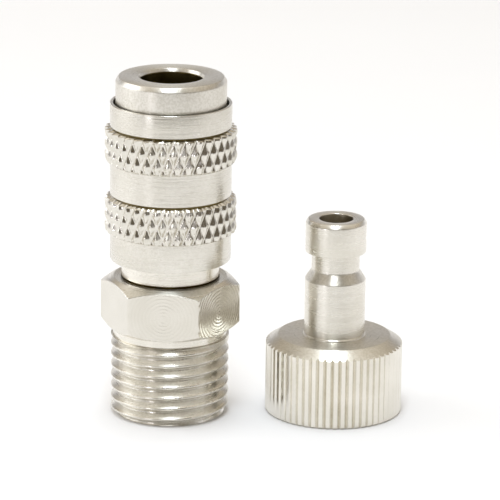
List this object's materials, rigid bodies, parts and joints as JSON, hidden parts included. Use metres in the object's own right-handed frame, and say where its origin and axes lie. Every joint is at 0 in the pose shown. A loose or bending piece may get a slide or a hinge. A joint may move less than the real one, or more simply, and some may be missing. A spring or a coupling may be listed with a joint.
{
  "type": "quick disconnect coupler",
  "caption": "Miniature ball-lock air coupling: a socket with a knurled sliding sleeve, hexagon and male pipe thread, and its knurled plug with a female pipe thread.",
  "frame": {"origin": "on the socket's axis, at the end face of its male thread", "axes": "+Z along the socket's axis towards the mouth; +X towards the plug, which stands beside the socket"},
  "size_m": [0.0249, 0.0112, 0.0284],
  "materials": {
    "nickel_plate": "turned brass, bright nickel plating",
    "raw_brass": "turned, unplated",
    "spring_steel": "drawn stainless wire",
    "ball_steel": "polished bearing ball",
    "seal_rubber": "moulded nitrile rubber"
  },
  "bodies": {
    "socket": {"rear_adapter": "nickel_plate", "lock_body": "nickel_plate", "plug_seal": "seal_rubber", "body_seal": "seal_rubber", "valve_spring": "spring_steel"},
    "sleeve_spring": {"sleeve_spring": "spring_steel"},
    "sleeve": {"sleeve": "nickel_plate"},
    "valve": {"valve_poppet": "raw_brass", "valve_seal": "seal_rubber"},
    "plug": {"plug_nipple": "nickel_plate", "plug_gasket": "seal_rubber"},
    "ball_1": {"ball_1": "ball_steel"},
    "ball_2": {"ball_2": "ball_steel"},
    "ball_3": {"ball_3": "ball_steel"},
    "ball_4": {"ball_4": "ball_steel"},
    "ball_5": {"ball_5": "ball_steel"},
    "ball_6": {"ball_6": "ball_steel"}
  },
  "joints": [
    {"name": "sleeve_spin", "type": "hinge", "parent": "socket", "child": "sleeve_spring", "pos_m": [0, 0, 0.0201], "axis": [0, 0, 1], "continuous": true},
    {"name": "sleeve_slide", "type": "slide", "parent": "sleeve_spring", "child": "sleeve", "axis": [0, 0, -1], "range_m": [0, 0.0015], "stiffness_N_per_m": 1000, "springref_m": -0.0015, "deforming": ["sleeve_spring"]},
    {"name": "valve_slide", "type": "slide", "parent": "socket", "child": "valve", "axis": [0, 0, -1], "range_m": [0, 0.002], "stiffness_N_per_m": 300, "springref_m": -0.002, "deforming": ["valve_spring"]},
    {"name": "ball_1_slide", "type": "slide", "parent": "socket", "child": "ball_1", "axis": [0.866, 0.5, 0], "range_m": [0, 0.00052]},
    {"name": "ball_2_slide", "type": "slide", "parent": "socket", "child": "ball_2", "axis": [0, 1, 0], "range_m": [0, 0.00052]},
    {"name": "ball_3_slide", "type": "slide", "parent": "socket", "child": "ball_3", "axis": [-0.866, 0.5, 0], "range_m": [0, 0.00052]},
    {"name": "ball_4_slide", "type": "slide", "parent": "socket", "child": "ball_4", "axis": [-0.866, -0.5, 0], "range_m": [0, 0.00052]},
    {"name": "ball_5_slide", "type": "slide", "parent": "socket", "child": "ball_5", "axis": [0, -1, 0], "range_m": [0, 0.00052]},
    {"name": "ball_6_slide", "type": "slide", "parent": "socket", "child": "ball_6", "axis": [0.866, -0.5, 0], "range_m": [0, 0.00052]},
    {"name": "plug_lift", "type": "slide", "parent": "socket", "child": "plug", "axis": [0, 0, 1], "range_m": [0, 0.03]}
  ],
  "couplings": [
    {"joint": "ball_1_slide", "follows": "sleeve_slide", "ratio": 0.34667},
    {"joint": "ball_2_slide", "follows": "sleeve_slide", "ratio": 0.34667},
    {"joint": "ball_3_slide", "follows": "sleeve_slide", "ratio": 0.34667},
    {"joint": "ball_4_slide", "follows": "sleeve_slide", "ratio": 0.34667},
    {"joint": "ball_5_slide", "follows": "sleeve_slide", "ratio": 0.34667},
    {"joint": "ball_6_slide", "follows": "sleeve_slide", "ratio": 0.34667}
  ]
}
